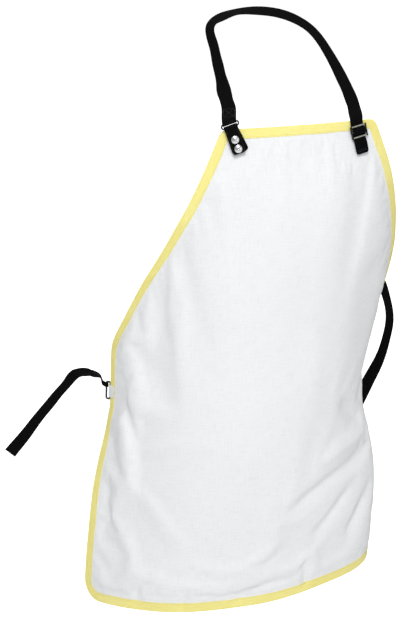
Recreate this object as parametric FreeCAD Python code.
import FreeCAD, Part
import math
import os

# Butcher apron: one cloth panel with folded binding, press-stud shoulder tab, wire loops,
# three-bar slide, neck strap and two waist straps.  Millimetres, +Z up, -Y is the front,
# +X is to the right as seen from the front.
# Origin: under the middle of the whole apron, level with its lowest point at the hem.
# Cloth points are (s, t) in the flat pattern: s across from the centre line, t up from
# the hem.

Vector = FreeCAD.Vector

# The drape is drawn about the middle of the hem; this point becomes the final origin.
DATUM = Vector(-27.874, 60.168, -17.420)

# ---------------------------------------------------------------- cloth and binding
LENGTH = 762.0            # hem to bib top along the cloth
HALF_SKIRT = 294.1        # half width of the skirt in the flat
HALF_TOP = 123.2          # half width of the bib top in the flat
HEM_CORNER_R = 34.0
TOP_CORNER_R = 18.0
SIDE_TOP = 0.42 * LENGTH  # the straight side ends and the armhole starts
CLOTH_T = 0.9             # panel thickness
TAPE_T = 0.55             # binding tape thickness
TAPE_W = 15.0             # binding width on each face
TAPE_GAP = 0.05           # groove clearance on each side of the cloth
PANEL_INSET = 1.2         # panel edge inside the outer edge of the binding
GROOVE_INSET = 1.1        # groove floor inside the outer edge of the binding
GROOVE_OVER = 4.0         # groove cutter past the inner edge of the binding
GROOVE_END_OVER = 3.0     # groove cutter past the ends of the binding
BINDING_END_GAP = 0.25    # each binding stops this short of the waist hardware height
WAIST_T = 326.0           # height of the waist hardware along the cloth edge

GROOVE_HALF = CLOTH_T / 2 + TAPE_GAP
BOUND_HALF = GROOVE_HALF + TAPE_T      # half thickness of the bound edge

# ---------------------------------------------------------------- drape
# stations up the cloth (0 hem, 1 bib top) and what is measured at them
DRAPE_V = [0.0, 0.2, 0.4, 0.55, 0.75, 1.0]
CENTRE_X = [-18.918, -8.133, 7.928, 25.641, 60.192, 69.864]          # centre line, across
CENTRE_Y = [-89.941, -79.933, -65.152, -48.023, -44.569, -27.955]    # centre line, depth
WRAP_R = [307.366, 276.718, 224.196, 242.996, 263.339, 497.954]      # wrap radius
ROLL = [0.075, 0.06, 0.054, 0.057, 0.064, 0.043]                     # sideways roll, rad
# the right side curls back on itself low down
CURL_TURN = [0.85, 0.70, 0.42, 0.36, 0.05, 0.0]                      # extra edge turn, rad
CURL_EASE = [0.2315, 0.2494, 0.0563, 0.0673, 0.004, 0.0499]          # wrap taken off first
CURL_START = 150.0        # s where the extra turn starts
EASE_LENGTH = 120.0       # s over which the ease comes in
CURL_STEPS = 24           # Simpson steps across the width
HEIGHT_STEPS = 600        # steps of the height table

# half width of the flat pattern up the cloth
WIDTH_V = [0.0, 0.42, 0.52, 0.60, 0.68, 0.76, 0.88, 1.0]
WIDTH_HALF = [294.067, 294.067, 294.067, 271.518, 247.435, 215.338, 165.202, 123.211]

# grid the cloth surface is interpolated through, running past every edge
GRID_S = [-312 + 26.0 * k for k in range(25)]
GRID_T = [-18 + 26.6 * k for k in range(31)]

# ---------------------------------------------------------------- straps and shoulders
WEB_W = 22.0              # strap webbing width
WEB_T = 1.1               # strap webbing thickness
FOLD_GAP = 2.2            # free length between two rigid lengths of strap at a fold
CLEAR = 0.05              # gap between stacked hardware

TAB_BACK = 1.45           # back of both shoulder tabs above the cloth middle
SHOULDER_T = 0.972 * LENGTH    # height where the cloth normals of the tabs are taken
WASHER_OFF = 0.35         # back washers stand off the bound cloth
HOLE_DEPTH = 6.0          # fastener holes, centred on the cloth

RING_WIRE_R = 1.3         # shoulder loop wire radius
RING_H = 6.6              # shoulder loop, between bar centres
RING_W = 26.2             # shoulder loop, between rail centres
RING_CORNER_R = 3.0
EYE_R = 2.2               # inside radius of the left tab round the shoulder loop
RING_OUT = TAB_BACK + WEB_T + EYE_R    # height of the shoulder loop above the cloth
LEFT_TAB_W = WEB_W - 1

CAP_R = 5.9               # press stud cap radius
CAP_PITCH = 14.4          # press stud spacing
CAP_ALONG = [-19.6, -19.6 - CAP_PITCH]    # press studs, from the loop's lower bar
CAP_UPPER = Vector(-31.958, -18.586, 731.405)
CAP_LOWER = Vector(-27.452, -20.579, 717.894)

RIGHT_TAB_W = 19.0
RIGHT_TAB_T = 1.0
RIVET_ALONG = [-18.5, -26.8]              # rivets, from the slide's centre bar
SLIDE_MIDDLE = Vector(166.042, -19.939, 739.263)
SLIDE_ALONG = Vector(-9.15, 0.9, 41.5)    # direction up the slide
SLIDE_PITCH = 8.3         # bar spacing of the slide
SLIDE_W = 26.4            # slide, between rail centres
SLIDE_BAR_R = 1.2
SLIDE_EYE = 2.0           # inside radius of the right tab round the centre bar
SLIDE_OUT = TAB_BACK + RIGHT_TAB_T + SLIDE_EYE    # height of the centre bar
OUTER_BAR_OUT = SLIDE_OUT + 1.0                   # the outer bars sit forward of it

WEB_CLEAR = 0.2           # strap to slide bar, strap to tab eye
STRAP_BACK = OUTER_BAR_OUT - SLIDE_BAR_R - WEB_CLEAR - WEB_T / 2
STRAP_FRONT = SLIDE_OUT + SLIDE_EYE + RIGHT_TAB_T + WEB_CLEAR + WEB_T / 2
STRAP_MIDDLE = OUTER_BAR_OUT + 0.55
NECK_LEAN = 1.4           # sideways lean of the neck strap as it leaves the shoulder loop
TAIL_END = -SLIDE_PITCH - 26.5
TAIL_CORNER_R = 4.0

# points where the fold line crosses the two risers of the neck strap
FOLD_LEFT = Vector(-39.3, 6.0, 789.0)
FOLD_RIGHT = Vector(159.3, 8.4, 787.8)

# Strap stations: centre line x, y, z, then the width direction.
# neck strap, left shoulder to right shoulder
NECK = [
    (-37.9, -2.5, 778.1, 0.989, -0.1, 0.105),
    (-40.3, 13.5, 798.5, 0.94, -0.33, 0.02),
    (-41.2, 30.3, 818.4, 0.529, -0.638, 0.56),
    (-41.4, 41.6, 831.5, 0.495, -0.649, 0.577),
    (-42.2, 52.9, 844.7, 0.45, -0.67, 0.59),
    (-42.4, 69.9, 864.4, 0.362, -0.7, 0.616),
    (-43.7, 86.9, 884.2, 0.395, -0.722, 0.568),
    (-38.3, 97.3, 896.4, 0.607, -0.786, 0.116),
    (-24.6, 104.7, 904.9, 0.484, -0.821, -0.302),
    (-0.9, 111.4, 912.7, 0.209, -0.920, -0.331),
    (25.0, 113.8, 915.4, 0.062, -0.871, -0.488),
    (42.3, 113.8, 915.3, -0.071, -0.808, -0.585),
    (59.6, 112.7, 913.9, -0.200, -0.766, -0.600),
    (84.4, 108.1, 908.3, -0.442, -0.696, -0.567),
    (106.7, 99.6, 897.9, -0.592, -0.668, -0.450),
    (119.1, 91.8, 888.5, -0.755, -0.589, -0.287),
    (128.3, 82.4, 877.1, -0.852, -0.507, -0.133),
    (137.8, 66.8, 858.5, -0.903, -0.430, -0.017),
    (145.2, 50.8, 839.4, -0.932, -0.361, -0.026),
    (149.4, 40.0, 826.5, -0.955, -0.295, -0.044),
    (153.1, 29.1, 813.4, -0.968, -0.240, -0.070),
    (158.2, 13.0, 793.7, -0.981, -0.140, -0.040),
    (161.3, -2.7, 773.1, -0.985, -0.150, -0.020),
]
# waist straps, wire loop to free end
WAIST_LEFT = [
    (-218.6, 128.6, 328.4, -0.3, -0.2, 0.93),
    (-226.1, 141.6, 330.2, -0.25, -0.15, 0.95),
    (-234.5, 157.4, 329.5, -0.35, -0.22, 0.91),
    (-243.8, 170.5, 325.9, -0.52, -0.3, 0.8),
    (-253.6, 180.3, 320.4, -0.700, -0.300, 0.640),
    (-267.4, 183.9, 304.0, -0.650, -0.460, 0.580),
    (-282.3, 183.7, 288.2, -0.640, -0.480, 0.590),
    (-296.6, 182.7, 271.9, -0.661, -0.425, 0.618),
    (-311.2, 181.9, 255.8, -0.662, -0.420, 0.612),
    (-325.3, 181.1, 239.3, -0.694, -0.360, 0.610),
    (-338.9, 180.2, 222.4, -0.725, -0.250, 0.630),
    (-353.3, 179.4, 206.1, -0.735, -0.120, 0.665),
    (-368.0, 178.5, 190.1, -0.749, -0.008, 0.663),
]
WAIST_RIGHT = [
    (237.1, 137.5, 361.0, 0.026, -0.842, 0.540),
    (249.8, 153.6, 384.7, 0.300, -0.847, 0.400),
    (261.6, 169.4, 407.0, 0.400, -0.820, 0.420),
    (274.7, 185.2, 430.4, 0.480, -0.800, 0.360),
    (291.8, 199.0, 449.8, 0.560, -0.800, 0.165),
    (306.8, 200.8, 422.9, 0.400, -0.900, 0.050),
    (316.0, 198.2, 367.0, 0.300, -0.950, 0.000),
    (311.1, 197.2, 341.3, 0.300, -0.950, -0.018),
    (301.6, 195.6, 310.1, 0.400, -0.900, -0.100),
    (289.9, 193.3, 286.8, 0.560, -0.780, -0.220),
    (276.7, 191.2, 264.3, 0.700, -0.600, -0.330),
    (264.4, 189.0, 241.3, 0.790, -0.440, -0.400),
    (248.7, 186.3, 212.7, 0.800, -0.400, -0.410),
    (236.2, 184.0, 189.9, 0.780, -0.450, -0.380),
]

# ---------------------------------------------------------------- waist hardware
WAIST_WIRE_R = 1.7
WAIST_RING_H = 28.0       # loop height between wire centres
WAIST_RING_W = 8.5        # loop width between wire centres
WAIST_CORNER_R = 2.6
WAIST_TILT = 20.0         # degrees the loop turns off the cloth, towards its outer face
WAIST_BAR = 2.3           # inner bar of the loop, outside the cloth edge
WAIST_TAB_W = 20.0        # cloth loop that holds the wire loop
WAIST_TAB_T = 1.0
WAIST_TAB_LEGS = [14.0, 10.0, 6.0, 2.5]   # leg stations, from the cloth edge inwards
FRONT_LEG_OUT = 2.0       # the front leg stands clear of the bowed edge
REAR_LEG_OUT = 1.75
GATHER_ALONG = 8.5        # the strap is gathered near the upper end of the outer bar
GATHER_W = 7.0
# strap widths at the first stations, before the full width
WIDTHS_LEFT = [GATHER_W, 7.5, 9.0, 12.5, 17.0, 21.0]
WIDTHS_RIGHT = [GATHER_W, 8.5, 14.0, 20.0]
FOLD_STATION_LEFT = 7     # strap station where the fold gap is cut
FOLD_STATION_RIGHT = 6


# ---------------------------------------------------------------- curves through stations
def interval(stations, place):
    k = 0
    while k < len(stations) - 2 and place > stations[k + 1]:
        k += 1
    return k


def gaps_and_slopes(stations, values):
    gaps = [b - a for a, b in zip(stations, stations[1:])]
    slopes = [(b - a) / gap for a, b, gap in zip(values, values[1:], gaps)]
    return gaps, slopes


def natural_cubic(stations, values):
    """function giving (value, slope) on the natural cubic through the stations"""
    count = len(stations)
    gaps, slopes = gaps_and_slopes(stations, values)
    # tridiagonal system for the second derivatives, which are zero at both ends
    lower, diagonal = [0.0] * count, [1.0] * count
    upper, bend = [0.0] * count, [0.0] * count
    for k in range(1, count - 1):
        lower[k] = gaps[k - 1]
        diagonal[k] = 2 * (gaps[k - 1] + gaps[k])
        upper[k] = gaps[k]
        bend[k] = 6 * (slopes[k] - slopes[k - 1])
    for k in range(1, count):
        factor = lower[k] / diagonal[k - 1]
        diagonal[k] -= factor * upper[k - 1]
        bend[k] -= factor * bend[k - 1]
    bend[-1] /= diagonal[-1]
    for k in range(count - 2, -1, -1):
        bend[k] = (bend[k] - upper[k] * bend[k + 1]) / diagonal[k]

    def evaluate(place):
        k = interval(stations, place)
        gap = gaps[k]
        low = (stations[k + 1] - place) / gap
        high = (place - stations[k]) / gap
        value = (low * values[k] + high * values[k + 1]
                 + ((low ** 3 - low) * bend[k] + (high ** 3 - high) * bend[k + 1]) * gap ** 2 / 6)
        slope = (slopes[k] - (3 * low * low - 1) / 6 * gap * bend[k]
                 + (3 * high * high - 1) / 6 * gap * bend[k + 1])
        return value, slope
    return evaluate


def monotone_cubic(stations, values):
    """function giving the value on the monotone cubic, straight beyond both ends"""
    count = len(stations)
    gaps, slopes = gaps_and_slopes(stations, values)

    def end_slope(gap, next_gap, slope, next_slope):
        result = ((2 * gap + next_gap) * slope - gap * next_slope) / (gap + next_gap)
        if result * slope <= 0:
            return 0.0
        if slope * next_slope <= 0 and abs(result) > 3 * abs(slope):
            return 3 * slope
        return result

    tangents = [0.0] * count
    for k in range(1, count - 1):
        if slopes[k - 1] * slopes[k] > 0:
            before = 2 * gaps[k] + gaps[k - 1]
            after = gaps[k] + 2 * gaps[k - 1]
            tangents[k] = (before + after) / (before / slopes[k - 1] + after / slopes[k])
    tangents[0] = end_slope(gaps[0], gaps[1], slopes[0], slopes[1])
    tangents[-1] = end_slope(gaps[-1], gaps[-2], slopes[-1], slopes[-2])

    def evaluate(place):
        if place <= stations[0]:
            return values[0] + tangents[0] * (place - stations[0])
        if place >= stations[-1]:
            return values[-1] + tangents[-1] * (place - stations[-1])
        k = interval(stations, place)
        part = (place - stations[k]) / gaps[k]
        rest = 1 - part
        return ((1 + 2 * part) * rest ** 2 * values[k]
                + part * rest ** 2 * gaps[k] * tangents[k]
                + part * part * (3 - 2 * part) * values[k + 1]
                + part * part * (part - 1) * gaps[k] * tangents[k + 1])
    return evaluate


centre_x = natural_cubic(DRAPE_V, CENTRE_X)
centre_y = natural_cubic(DRAPE_V, CENTRE_Y)
roll_at = natural_cubic(DRAPE_V, ROLL)
wrap_radius = monotone_cubic(DRAPE_V, WRAP_R)
curl_turn = monotone_cubic(DRAPE_V, CURL_TURN)
curl_ease = natural_cubic(DRAPE_V, CURL_EASE)
half_width = monotone_cubic(WIDTH_V, WIDTH_HALF)


# ---------------------------------------------------------------- cloth surface
def height_table():
    """heights of the centre line that keep its length equal to the cloth's"""
    heights = [0.0]
    for k in range(HEIGHT_STEPS):
        v = (k + 0.5) / HEIGHT_STEPS
        rise = math.sqrt(LENGTH ** 2 - centre_y(v)[1] ** 2 - centre_x(v)[1] ** 2)
        heights.append(heights[-1] + rise / HEIGHT_STEPS)
    return heights


HEIGHTS = height_table()


def centre_z(v):
    if v < 0:
        return v * (HEIGHTS[1] - HEIGHTS[0]) * HEIGHT_STEPS
    if v > 1:
        return HEIGHTS[-1] + (v - 1) * (HEIGHTS[-1] - HEIGHTS[-2]) * HEIGHT_STEPS
    k = min(int(v * HEIGHT_STEPS), HEIGHT_STEPS - 1)
    return HEIGHTS[k] + (HEIGHTS[k + 1] - HEIGHTS[k]) * (v * HEIGHT_STEPS - k)


def cloth(s, t):
    """point on the middle surface of the cloth"""
    v = t / LENGTH
    radius = wrap_radius(v)
    if s <= 0:
        x = radius * math.sin(s / radius)
        y = radius * (1 - math.cos(s / radius))
    else:
        # turn of the cloth along its width, summed by Simpson's rule
        turn, ease = curl_turn(v), curl_ease(v)[0]
        x = y = 0.0
        for k in range(CURL_STEPS + 1):
            place = s * k / CURL_STEPS
            part = min(place / EASE_LENGTH, 1.0)
            curled = max(place - CURL_START, 0.0) / (HALF_SKIRT - CURL_START)
            angle = (place / radius * (1 - ease * part * part * (3 - 2 * part))
                     + turn * curled ** 2)
            weight = 1 if k in (0, CURL_STEPS) else (4 if k % 2 else 2)
            x += weight * math.cos(angle)
            y += weight * math.sin(angle)
        x, y = x * s / CURL_STEPS / 3, y * s / CURL_STEPS / 3
    roll = roll_at(v)[0]
    return Vector(centre_x(v)[0] + x * math.cos(roll),
                  centre_y(v)[0] + y,
                  centre_z(v) + x * math.sin(roll))


def unit(vector):
    result = Vector(vector)
    result.normalize()
    return result


def normal(s, t):
    """unit normal on the outer (front) face of the cloth"""
    across = cloth(s + 0.5, t) - cloth(s - 0.5, t)
    along = cloth(s, t + 0.5) - cloth(s, t - 0.5)
    return unit(across.cross(along))


def cloth_up(s, t):
    return unit(cloth(s, t + 3) - cloth(s, t - 3))


def interpolated(points, parameters):
    curve = Part.BSplineCurve()
    curve.interpolate(Points=points, Parameters=parameters)
    return curve


SHEETS = {}


def sheet(offset):
    """cloth surface raised by offset to the front, with parameters u = s and v = t"""
    key = round(offset, 4)
    if key in SHEETS:
        return SHEETS[key]
    rows = []
    for t in GRID_T:
        row = interpolated([cloth(s, t) + normal(s, t) * offset for s in GRID_S], GRID_S)
        rows.append(row.getPoles())
    columns = []
    for k in range(len(rows[0])):
        column = interpolated([poles[k] for poles in rows], GRID_T)
        columns.append(column.getPoles())
    surface = Part.BSplineSurface()
    surface.buildFromPolesMultsKnots(
        columns, row.getMultiplicities(), column.getMultiplicities(),
        row.getKnots(), column.getKnots(), False, False, 3, 3)
    SHEETS[key] = surface
    return surface


def edge_on(surface, segment):
    points = [FreeCAD.Base.Vector2d(*point) for point in segment]
    if len(points) == 2:
        return Part.Geom2d.Line2dSegment(points[0], points[1]).toShape(surface)
    curve = Part.Geom2d.BSplineCurve2d()
    curve.interpolate(points)
    return curve.toShape(surface)


def solid_of(faces):
    shell = Part.Shell(faces)
    shell.sewShape()
    if shell.ShapeType != "Shell":
        shell = shell.Shells[0]
    solid = Part.Solid(shell)
    if solid.Volume < 0:
        solid.reverse()
    return solid


def slab(segments, half_thickness):
    """solid inside a flat pattern outline, equally thick on both sides of the cloth middle"""
    rear, front = sheet(-half_thickness), sheet(half_thickness)
    rear_edges = [edge_on(rear, segment) for segment in segments]
    front_edges = [edge_on(front, segment) for segment in segments]
    faces = [Part.Face(rear, Part.Wire(rear_edges)), Part.Face(front, Part.Wire(front_edges))]
    for rear_edge, front_edge in zip(rear_edges, front_edges):
        faces.append(Part.makeRuledSurface(rear_edge, front_edge))
    return solid_of(faces)


# ---------------------------------------------------------------- flat pattern outline
# the top corner arc is tangent to the armhole, which leans in at the bib top
LEAN_SPAN = 10.0
ARM_LEAN = math.atan((half_width(1.0 - LEAN_SPAN / LENGTH) - half_width(1.0)) / LEAN_SPAN)
TOP_CENTRE_S = HALF_TOP - TOP_CORNER_R * math.tan((math.pi / 2 - ARM_LEAN) / 2)
TOP_CENTRE_T = LENGTH - TOP_CORNER_R
ARM_TOP = TOP_CENTRE_T + TOP_CORNER_R * math.sin(ARM_LEAN)
# widening that brings the top of the armhole onto the arc
ARM_FIX = TOP_CENTRE_S + TOP_CORNER_R * math.cos(ARM_LEAN) - half_width(ARM_TOP / LENGTH)
ARM_STEPS = 34


# the four right-hand stretches of the edge, upwards, each moved inwards by inset
def hem_corner(inset):
    radius = HEM_CORNER_R - inset
    angles = [math.pi / 2 * k / 12 for k in range(13)]
    return [(HALF_SKIRT - HEM_CORNER_R + radius * math.sin(a),
             HEM_CORNER_R - radius * math.cos(a)) for a in angles]


def straight_side(inset):
    return [(HALF_SKIRT - inset, HEM_CORNER_R), (HALF_SKIRT - inset, SIDE_TOP)]


def armhole(inset):
    points = []
    for k in range(ARM_STEPS + 1):
        t = SIDE_TOP + (ARM_TOP - SIDE_TOP) * k / ARM_STEPS
        width = half_width(t / LENGTH) + ARM_FIX * (k / ARM_STEPS) ** 2
        slope = (half_width((t + 1) / LENGTH) - half_width((t - 1) / LENGTH)) / 2
        if k == 0:
            slope = 0.0
        if k == ARM_STEPS:
            slope = -math.tan(ARM_LEAN)
        length = math.hypot(1, slope)
        points.append((width - inset / length, t + inset * slope / length))
    return points


def top_corner(inset):
    radius = TOP_CORNER_R - inset
    angles = [ARM_LEAN + (math.pi / 2 - ARM_LEAN) * k / 8.0 for k in range(9)]
    return [(TOP_CENTRE_S + radius * math.cos(a),
             TOP_CENTRE_T + radius * math.sin(a)) for a in angles]


def backwards(chain):
    return [segment[::-1] for segment in chain][::-1]


def mirrored(chain):
    """left-hand copy of a chain of segments, run in the opposite sense"""
    return backwards([[(-s, t) for s, t in segment] for segment in chain])


def joined(first, second):
    """two chains with a straight segment between them"""
    return first + [[first[-1][-1], second[0][0]]] + second


def closed(chain):
    """make every segment start exactly where the one before it ends"""
    segments = [list(segment) for segment in chain]
    for k, segment in enumerate(segments):
        segments[(k + 1) % len(segments)][0] = segment[-1]
    return segments


def panel_outline(inset):
    right = [hem_corner(inset), straight_side(inset), armhole(inset), top_corner(inset)]
    left = mirrored(right)
    return closed([[left[-1][-1], right[0][0]]] + joined(right, left))


def bib_chain(inset, extra):
    """armholes and bib top, with both ends lengthened by extra"""
    end = WAIST_T + BINDING_END_GAP - extra
    arm = [(HALF_SKIRT - inset, end)] + [p for p in armhole(inset) if p[1] > end + 4]
    right = [arm, top_corner(inset)]
    return joined(right, mirrored(right))


def skirt_chain(inset, extra):
    """sides and hem, with both ends lengthened by extra"""
    end = WAIST_T - BINDING_END_GAP + extra
    width = HALF_SKIRT - inset
    right = [[(width, end), (width, HEM_CORNER_R)], hem_corner(inset)[::-1]]
    return joined(right, mirrored(right))


def binding(chain):
    """tape folded round the edge: a band with a groove for the cloth"""
    def band(outer_inset, inner_inset, extra):
        outer = chain(outer_inset, extra)
        inner = backwards(chain(inner_inset, extra))
        return closed(joined(outer, inner) + [[inner[-1][-1], outer[0][0]]])

    tape = slab(band(0.0, TAPE_W, 0.0), BOUND_HALF)
    groove = slab(band(GROOVE_INSET, TAPE_W + GROOVE_OVER, GROOVE_END_OVER), GROOVE_HALF)
    return tape.cut(groove)


# ---------------------------------------------------------------- frames and webbing
def placed(shape, x_axis, y_axis, z_axis, origin):
    """copy of a shape carried into the frame with these axes"""
    columns = (x_axis, y_axis, z_axis, origin)
    matrix = FreeCAD.Matrix(*[c.x for c in columns], *[c.y for c in columns],
                            *[c.z for c in columns], 0, 0, 0, 1)
    result = shape.copy()
    result.transformShape(matrix, True)
    return result


def station(point, width_axis):
    return (point.x, point.y, point.z, width_axis.x, width_axis.y, width_axis.z)


class Frame:
    """local frame on the cloth: along runs up, across to +s, outward off the front face.
    Pieces for it are drawn with x = across, y = along, z = outward."""

    def __init__(self, origin, along, outward, shift=(0, 0)):
        self.outward = unit(outward)
        self.along = unit(along - self.outward * along.dot(self.outward))
        self.across = unit(self.along.cross(self.outward))
        self.origin = origin
        self.origin = self.at(shift[0], shift[1], 0)

    def at(self, along, across, outward):
        return (self.origin + self.along * along + self.across * across
                + self.outward * outward)

    def place(self, shape):
        return placed(shape, self.across, self.along, self.outward, self.origin)

    def station(self, along, outward, across=0, sign=1):
        """strap station with its width along +across or -across"""
        return station(self.at(along, across, outward), self.across * sign)


def strap_frames(stations):
    """(point, tangent, width axis, face axis) at each station, squared up"""
    points = [Vector(*row[:3]) for row in stations]
    last = len(points) - 1
    result = []
    for k, point in enumerate(points):
        if k == 0:
            tangent = points[1] - point
        elif k == last:
            tangent = point - points[-2]
        else:
            before, after = point - points[k - 1], points[k + 1] - point
            total = before.Length + after.Length
            tangent = (before * (after.Length / total) / before.Length
                       + after * (before.Length / total) / after.Length)
        tangent = unit(tangent)
        width = Vector(*stations[k][3:6])
        width = unit(width - tangent * width.dot(tangent))
        result.append((point, tangent, width, unit(tangent.cross(width))))
    return result


def ribbon(stations, widths=WEB_W, thickness=WEB_T):
    """band through stations; widths is one width or a list with one for each station"""
    frames = strap_frames(stations)
    if not isinstance(widths, list):
        widths = [widths] * len(frames)
    lengths = [0.0]
    for before, after in zip(frames, frames[1:]):
        lengths.append(lengths[-1] + (after[0] - before[0]).Length)
    # one line of points along each of the four corners of the section
    lines = []
    for side, face in ((1, 1), (-1, 1), (-1, -1), (1, -1)):
        lines.append([point + across * (side * width / 2) + out * (face * thickness / 2)
                      for (point, _, across, out), width in zip(frames, widths)])
    edges = [interpolated(line, lengths).toShape() for line in lines]
    faces = [Part.makeRuledSurface(edges[k], edges[(k + 1) % 4], 1) for k in range(4)]
    for end in (0, -1):
        corners = [line[end] for line in lines]
        faces.append(Part.makeRuledSurface(Part.makeLine(corners[0], corners[1]),
                                           Part.makeLine(corners[3], corners[2])))
    return solid_of(faces)


# ---------------------------------------------------------------- basic shapes
def strip(width, low, high, back, thickness, corner=0.0):
    """flat strip from y = low to y = high, its lower corners rounded"""
    half = width / 2
    if corner == 0:
        return Part.makeBox(width, high - low, thickness, Vector(-half, low, back))
    inset = corner * (1 - math.sqrt(0.5))
    points = [Vector(x, y, back) for x, y in (
        (-half, high), (-half, low + corner), (-half + corner, low),
        (half - corner, low), (half, low + corner), (half, high))]
    left_middle = Vector(-half + inset, low + inset, back)
    right_middle = Vector(half - inset, low + inset, back)
    edges = [Part.makeLine(points[0], points[1]),
             Part.Arc(points[1], left_middle, points[2]).toShape(),
             Part.makeLine(points[2], points[3]),
             Part.Arc(points[3], right_middle, points[4]).toShape(),
             Part.makeLine(points[4], points[5]),
             Part.makeLine(points[5], points[0])]
    return Part.Face(Part.Wire(edges)).extrude(Vector(0, 0, thickness))


def tube(start, axis, length, inner_r, outer_r):
    outer = Part.makeCylinder(outer_r, length, start, axis)
    return outer.cut(Part.makeCylinder(inner_r, length + 2, start - axis, axis))


def eye(width, y, z, inner_r, outer_r):
    """webbing eye: tube along x"""
    return tube(Vector(-width / 2, y, z), Vector(1, 0, 0), width, inner_r, outer_r)


def wire_ring(width, height, wire_r, corner):
    """closed wire loop in x-y with round corners; its lower bar lies on the x axis"""
    half = width / 2
    inset = corner * (1 - math.sqrt(0.5))
    # start, middle and end of each corner arc
    arcs = [
        ((half - corner, 0), (half - inset, inset), (half, corner)),
        ((half, height - corner), (half - inset, height - inset), (half - corner, height)),
        ((-half + corner, height), (-half + inset, height - inset), (-half, height - corner)),
        ((-half, corner), (-half + inset, inset), (-half + corner, 0)),
    ]
    # the sweep starts in the middle of the lower bar
    start = Vector(0, 0, 0)
    edges = []
    reached = start
    for arc in arcs:
        first, middle, last = [Vector(x, y, 0) for x, y in arc]
        edges.append(Part.makeLine(reached, first))
        edges.append(Part.Arc(first, middle, last).toShape())
        reached = last
    edges.append(Part.makeLine(reached, start))
    section = Part.Wire([Part.makeCircle(wire_r, start, Vector(1, 0, 0))])
    ring = Part.Wire(edges).makePipeShell([section], True, False)
    if ring.ShapeType != "Solid":
        ring = Part.Solid(ring)
    if ring.Volume < 0:
        ring.reverse()
    return ring


def turned(profile, y):
    """body of revolution about the line parallel to z at y; profile is (radius, z)"""
    points = [Vector(radius, y, z) for radius, z in profile]
    points.append(points[0])
    face = Part.Face(Part.makePolygon(points))
    return face.revolve(Vector(0, y, 0), Vector(0, 0, 1), 360)


def dome(y, z, radius, height, rim):
    """shallow domed cap with its flat back at height z"""
    rise = height - rim
    sphere_r = (radius * radius + rise ** 2) / (2 * rise)
    angle = math.asin(radius / sphere_r) / 2
    middle = Vector(sphere_r * math.sin(angle), y,
                    z + height - sphere_r + sphere_r * math.cos(angle))
    back, top = Vector(0, y, z), Vector(0, y, z + height)
    back_rim, front_rim = Vector(radius, y, z), Vector(radius, y, z + rim)
    edges = [Part.makeLine(back, back_rim),
             Part.makeLine(back_rim, front_rim),
             Part.Arc(front_rim, middle, top).toShape(),
             Part.makeLine(top, back)]
    return Part.Face(Part.Wire(edges)).revolve(Vector(0, y, 0), Vector(0, 0, 1), 360)


def back_washer(y, shank_r, disc_r, thickness):
    """shank from behind the tab through the cloth, with a disc behind the cloth"""
    top = TAB_BACK - CLEAR
    disc_z = -BOUND_HALF - WASHER_OFF
    return turned([(0, top), (shank_r, top), (shank_r, disc_z), (disc_r, disc_z),
                   (disc_r, disc_z - thickness), (0, disc_z - thickness)], y)


def holes(frame, places, radius):
    """cutters through the cloth for fasteners"""
    return [frame.place(Part.makeCylinder(radius, HOLE_DEPTH,
                                          Vector(0, y, -HOLE_DEPTH / 2), Vector(0, 0, 1)))
            for y in places]


def save(name, *shapes):
    solids = []
    for shape in shapes:
        solids += shape.Solids
    result = solids[0] if len(solids) == 1 else Part.makeCompound(solids)
    result.translate(DATUM * -1)
    result.exportStep("parts/%s.step" % name)


# ---------------------------------------------------------------- left shoulder
def left_tab_base():
    """tab under the flap, turned forward round the lower bar of the shoulder loop"""
    # the under layer swings a little to the right of the flap
    under = strip(LEFT_TAB_W, -41.0, -3.0, TAB_BACK, WEB_T, 4.0)
    under.rotate(Vector(0, -3.0, 0), Vector(0, 0, 1), 7.0)
    rear_leg = strip(LEFT_TAB_W, -6.0, 0.0, TAB_BACK, WEB_T)
    # the eye is open over its lower rear quarter
    outer_r = EYE_R + WEB_T
    wrap = eye(LEFT_TAB_W, 0, RING_OUT, EYE_R, outer_r)
    points = [Vector(-LEFT_TAB_W, 0, RING_OUT)]
    for k in range(9):
        angle = math.radians(180.0 + 90.0 * k / 8)
        points.append(Vector(-LEFT_TAB_W, 3 * outer_r * math.cos(angle),
                             RING_OUT + 3 * outer_r * math.sin(angle)))
    points.append(points[0])
    quarter = Part.Face(Part.makePolygon(points)).extrude(Vector(2 * LEFT_TAB_W, 0, 0))
    wrap = wrap.cut(quarter)
    front_leg = strip(LEFT_TAB_W, -2.2, 0.0, RING_OUT + EYE_R, WEB_T)
    return under.fuse([rear_leg, wrap, front_leg])


def snap_socket(y):
    """ring under the flap; its bore clears the stud"""
    front = RING_OUT + EYE_R - CLEAR
    rear = front - 1.9
    return turned([(3.3, front), (5.0, front), (5.0, rear), (3.3, rear)], y)


def snap_stud(y):
    """flanged stud on the tab base"""
    foot = TAB_BACK + WEB_T + CLEAR
    return turned([(0, foot), (5.0, foot), (5.0, foot + 0.8), (2.3, foot + 0.9),
                   (2.3, foot + 2.6), (0, foot + 2.9)], y)


def save_left_shoulder(frame):
    place = frame.place
    flap_back = RING_OUT + EYE_R
    cap_back = flap_back + WEB_T + CLEAR
    save("left_tab_base", place(left_tab_base()))
    save("left_tab_flap", place(strip(LEFT_TAB_W, -41.5, -2.9, flap_back, WEB_T, 4.5)))
    save("snap_caps", *[place(dome(y, cap_back, radius=CAP_R, height=2.1, rim=0.55))
                        for y in CAP_ALONG])
    save("snap_sockets", *[place(snap_socket(y)) for y in CAP_ALONG])
    save("snap_studs", *[place(snap_stud(y)) for y in CAP_ALONG])
    save("snap_posts", *[place(back_washer(y, shank_r=1.6, disc_r=4.6, thickness=0.8))
                         for y in CAP_ALONG])
    ring = wire_ring(RING_W, RING_H, RING_WIRE_R, RING_CORNER_R)
    ring.translate(Vector(0, 0, RING_OUT))
    save("left_shoulder_ring", place(ring))


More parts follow.
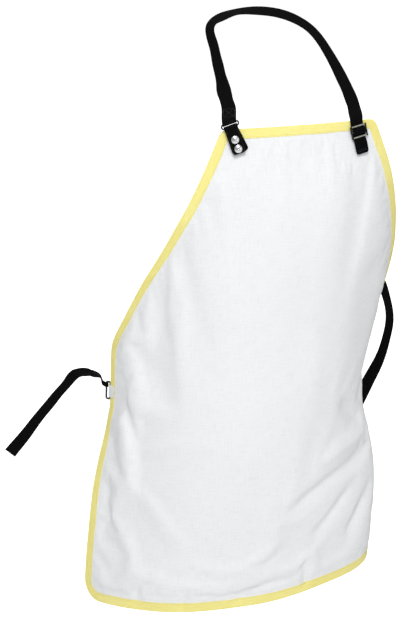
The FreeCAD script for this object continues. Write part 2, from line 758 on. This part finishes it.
# ---------------------------------------------------------------- right shoulder
def right_tab():
    """riveted tab with an eye round the centre bar of the slide"""
    leg = strip(RIGHT_TAB_W, -32.0, 0.0, TAB_BACK, RIGHT_TAB_T, 3.0)
    return leg.fuse(eye(RIGHT_TAB_W, 0, SLIDE_OUT, SLIDE_EYE, SLIDE_EYE + RIGHT_TAB_T))


def neck_slide():
    """two rails, two outer bars and a centre bar"""
    rail_w, rail_t, rail_over, bar_over = 2.4, 2.2, 1.5, 0.8
    half = SLIDE_W / 2
    rail = Part.makeBox(rail_w, 2 * (SLIDE_PITCH + rail_over), rail_t,
                        Vector(-rail_w / 2, -SLIDE_PITCH - rail_over,
                               OUTER_BAR_OUT - rail_t / 2))
    rail = rail.makeFillet(0.5, rail.Edges)
    pieces = []
    for x in (-half, half):
        copy = rail.copy()
        copy.translate(Vector(x, 0, 0))
        pieces.append(copy)
    for y in (-SLIDE_PITCH, SLIDE_PITCH):
        pieces.append(Part.makeCylinder(SLIDE_BAR_R, SLIDE_W,
                                        Vector(-half, y, OUTER_BAR_OUT), Vector(1, 0, 0)))
    pieces.append(Part.makeCylinder(SLIDE_BAR_R, SLIDE_W + 2 * bar_over,
                                    Vector(-half - bar_over, 0, SLIDE_OUT),
                                    Vector(1, 0, 0)))
    return pieces[0].fuse(pieces[1:])


def save_right_shoulder(frame):
    place = frame.place
    rivet_back = TAB_BACK + RIGHT_TAB_T + CLEAR
    save("right_shoulder_tab", place(right_tab()))
    save("right_tab_rivets", *[place(dome(y, rivet_back, radius=4.0, height=1.2, rim=0.35))
                               for y in RIVET_ALONG])
    save("right_tab_burrs", *[place(back_washer(y, shank_r=1.4, disc_r=4.0, thickness=0.75))
                              for y in RIVET_ALONG])
    save("neck_slide", place(neck_slide()))


# ---------------------------------------------------------------- neck strap
def neck_tail(frame):
    """free end of the neck strap below the slide, its lower corners rounded"""
    # distance below the lower outer bar, distance forward of the strap's rear position
    rows = [(3.1, 0.0), (5.0, 0.25), (8.0, 1.0), (12.0, 1.5), (18.0, 1.5), (26.5, 1.3)]
    tail = ribbon([frame.station(-SLIDE_PITCH - below, STRAP_BACK + forward)
                   for below, forward in rows])
    size, depth, back = 5, 12, -2
    y = TAIL_END + TAIL_CORNER_R
    for side in (-1, 1):
        x = side * (WEB_W / 2 - TAIL_CORNER_R)
        square = Part.makeBox(size, size, depth,
                              Vector(x if side > 0 else x - size, y - size, back))
        rounding = Part.makeCylinder(TAIL_CORNER_R, depth, Vector(x, y, back),
                                     Vector(0, 0, 1))
        tail = tail.cut(frame.place(square.cut(rounding)))
    return tail


def save_neck_strap(left, right):
    fold_axis = unit(FOLD_RIGHT - FOLD_LEFT)
    rise_left = unit(Vector(*NECK[1][:3]) - Vector(*NECK[0][:3]))
    fall_right = unit(Vector(*NECK[-1][:3]) - Vector(*NECK[-2][:3]))

    def fold_station(point, direction, sign):
        """station half the free length away from the fold line"""
        return station(point + direction * (FOLD_GAP / 2), fold_axis * sign)

    # the strap leaves from behind the upper bar of the shoulder loop
    start = [left.station(RING_H, RING_OUT - 2.45),
             left.station(RING_H + 5.0, RING_OUT - 3.3, across=NECK_LEAN)]
    # (along, outward): behind the upper bar, over the centre bar, behind the lower bar
    through_slide = [
        (SLIDE_PITCH + 8.0, STRAP_BACK + 0.3), (SLIDE_PITCH + 3.0, STRAP_BACK),
        (SLIDE_PITCH + 0.2, STRAP_BACK), (6.1, STRAP_BACK + 0.75),
        (4.3, STRAP_MIDDLE), (2.3, STRAP_FRONT - 0.5),
        (0, STRAP_FRONT),
        (-2.3, STRAP_FRONT - 0.5), (-4.3, STRAP_MIDDLE),
        (-6.1, STRAP_BACK + 0.75), (-SLIDE_PITCH - 0.2, STRAP_BACK),
        (-SLIDE_PITCH - 1.9, STRAP_BACK),
    ]
    finish = [right.station(along, outward, sign=-1) for along, outward in through_slide]

    left_end = ribbon(start + [NECK[0], fold_station(FOLD_LEFT, rise_left * -1, 1)])
    ring_eye = eye(WEB_W, RING_H, RING_OUT, RING_WIRE_R + 0.3, RING_WIRE_R + 0.4 + WEB_T)
    save("neck_strap_left_end", left_end.fuse(left.place(ring_eye)))
    save("neck_strap_loop", ribbon([fold_station(FOLD_LEFT, rise_left, 1)] + NECK[1:-1]
                                   + [fold_station(FOLD_RIGHT, fall_right * -1, -1)]))
    save("neck_strap_right_end",
         ribbon([fold_station(FOLD_RIGHT, fall_right, -1), NECK[-1]] + finish))
    save("neck_strap_tail", neck_tail(right))


# ---------------------------------------------------------------- waist hardware
# side is -1 on the left and 1 on the right; drawings are made for the right and mirrored
def place_on_side(frame, side, shape):
    if side < 0:
        shape = shape.mirror(Vector(0, 0, 0), Vector(1, 0, 0))
    return frame.place(shape)


def waist_tab(frame, side, up):
    """cloth loop: a leg on each face of the bound edge, and round the inner bar"""
    def leg(inward, height):
        s = side * (HALF_SKIRT - inward)
        return station(cloth(s, WAIST_T) + normal(s, WAIST_T) * height, cloth_up(s, WAIST_T))

    wrap_r = WAIST_WIRE_R + 0.15 + WAIST_TAB_T / 2
    wrap = [(0.4, FRONT_LEG_OUT + 0.2)]
    for degrees in range(90, -91, -30):
        angle = math.radians(degrees)
        wrap.append((WAIST_BAR + wrap_r * math.cos(angle), wrap_r * math.sin(angle)))
    wrap.append((0.4, -REAR_LEG_OUT - 0.35))
    stations = [leg(inward, FRONT_LEG_OUT) for inward in WAIST_TAB_LEGS]
    stations += [station(frame.at(0, side * x, z), up) for x, z in wrap]
    stations += [leg(inward, -REAR_LEG_OUT) for inward in WAIST_TAB_LEGS[::-1]]
    return ribbon(stations, WAIST_TAB_W, WAIST_TAB_T)


def waist_ring(frame, side):
    """wire loop with its bars along the edge, tilted about its inner bar"""
    ring = wire_ring(WAIST_RING_H, WAIST_RING_W, WAIST_WIRE_R, WAIST_CORNER_R)
    ring.rotate(Vector(0, 0, 0), Vector(0, 0, 1), -90)
    ring.rotate(Vector(0, 0, 0), Vector(0, 1, 0), -WAIST_TILT)
    ring.translate(Vector(WAIST_BAR, 0, 0))
    return place_on_side(frame, side, ring)


def waist_strap(frame, side, up, table, widths, fold):
    """strap from an eye round the outer bar, in two lengths parted at station fold"""
    tilt = math.radians(WAIST_TILT)

    def in_ring_plane(reach):
        """across and outward of a point at this distance from the inner bar"""
        return WAIST_BAR + reach * math.cos(tilt), reach * math.sin(tilt)

    inner_r = WAIST_WIRE_R + 0.35
    outer_r = inner_r + WEB_T
    x, z = in_ring_plane(WAIST_RING_W)
    strap_eye = tube(Vector(x, GATHER_ALONG - GATHER_W / 2, z), Vector(0, 1, 0), GATHER_W,
                     inner_r, outer_r)
    strap_eye = place_on_side(frame, side, strap_eye)

    stations = []
    for beyond in (-0.1, 4.0):
        x, z = in_ring_plane(WAIST_RING_W + (inner_r + outer_r) / 2 + beyond)
        stations.append(station(frame.at(GATHER_ALONG, side * x, z), up))
    # the second reach is measured from the bar, as the first is
    stations += table
    body = ribbon(stations, widths + [WEB_W] * (len(stations) - len(widths)))

    frames = strap_frames(stations)
    point, tangent, width, face = frames[fold]
    gap = Part.makeBox(60, 60, FOLD_GAP, Vector(-30, -30, -FOLD_GAP / 2))
    lengths = body.cut(placed(gap, width, face, tangent, point)).Solids
    lengths.sort(key=lambda solid: (solid.CenterOfMass - frames[0][0]).Length)
    return lengths[0].fuse(strap_eye), lengths[-1]


def save_waist(name, side, table, widths, fold):
    edge_s = side * HALF_SKIRT
    up = cloth_up(edge_s, WAIST_T)
    frame = Frame(cloth(edge_s, WAIST_T), up, normal(edge_s, WAIST_T))
    save(name + "_waist_tab", waist_tab(frame, side, up))
    save(name + "_waist_ring", waist_ring(frame, side))
    inner, outer = waist_strap(frame, side, up, table, widths, fold)
    save(name + "_waist_strap_inner", inner)
    save(name + "_waist_strap_outer", outer)


# ---------------------------------------------------------------- build
os.makedirs("parts", exist_ok=True)

# origins: lower bar of the shoulder loop, centre bar of the slide
left_frame = Frame(CAP_UPPER, CAP_UPPER - CAP_LOWER, normal(-101.0, SHOULDER_T),
                   shift=(19.7, 0))
right_frame = Frame(SLIDE_MIDDLE, SLIDE_ALONG, normal(97.0, SHOULDER_T),
                    shift=(0.8, -5.5))

panel = slab(panel_outline(PANEL_INSET), CLOTH_T / 2)
bib_binding = binding(bib_chain)
for cutter in holes(left_frame, CAP_ALONG, 1.75) + holes(right_frame, RIVET_ALONG, 1.55):
    panel = panel.cut(cutter)
    bib_binding = bib_binding.cut(cutter)
save("apron_panel", panel)
save("bib_binding", bib_binding)
save("skirt_binding", binding(skirt_chain))

save_left_shoulder(left_frame)
save_right_shoulder(right_frame)
save_neck_strap(left_frame, right_frame)
save_waist("left", -1, WAIST_LEFT, WIDTHS_LEFT, FOLD_STATION_LEFT)
save_waist("right", 1, WAIST_RIGHT, WIDTHS_RIGHT, FOLD_STATION_RIGHT)
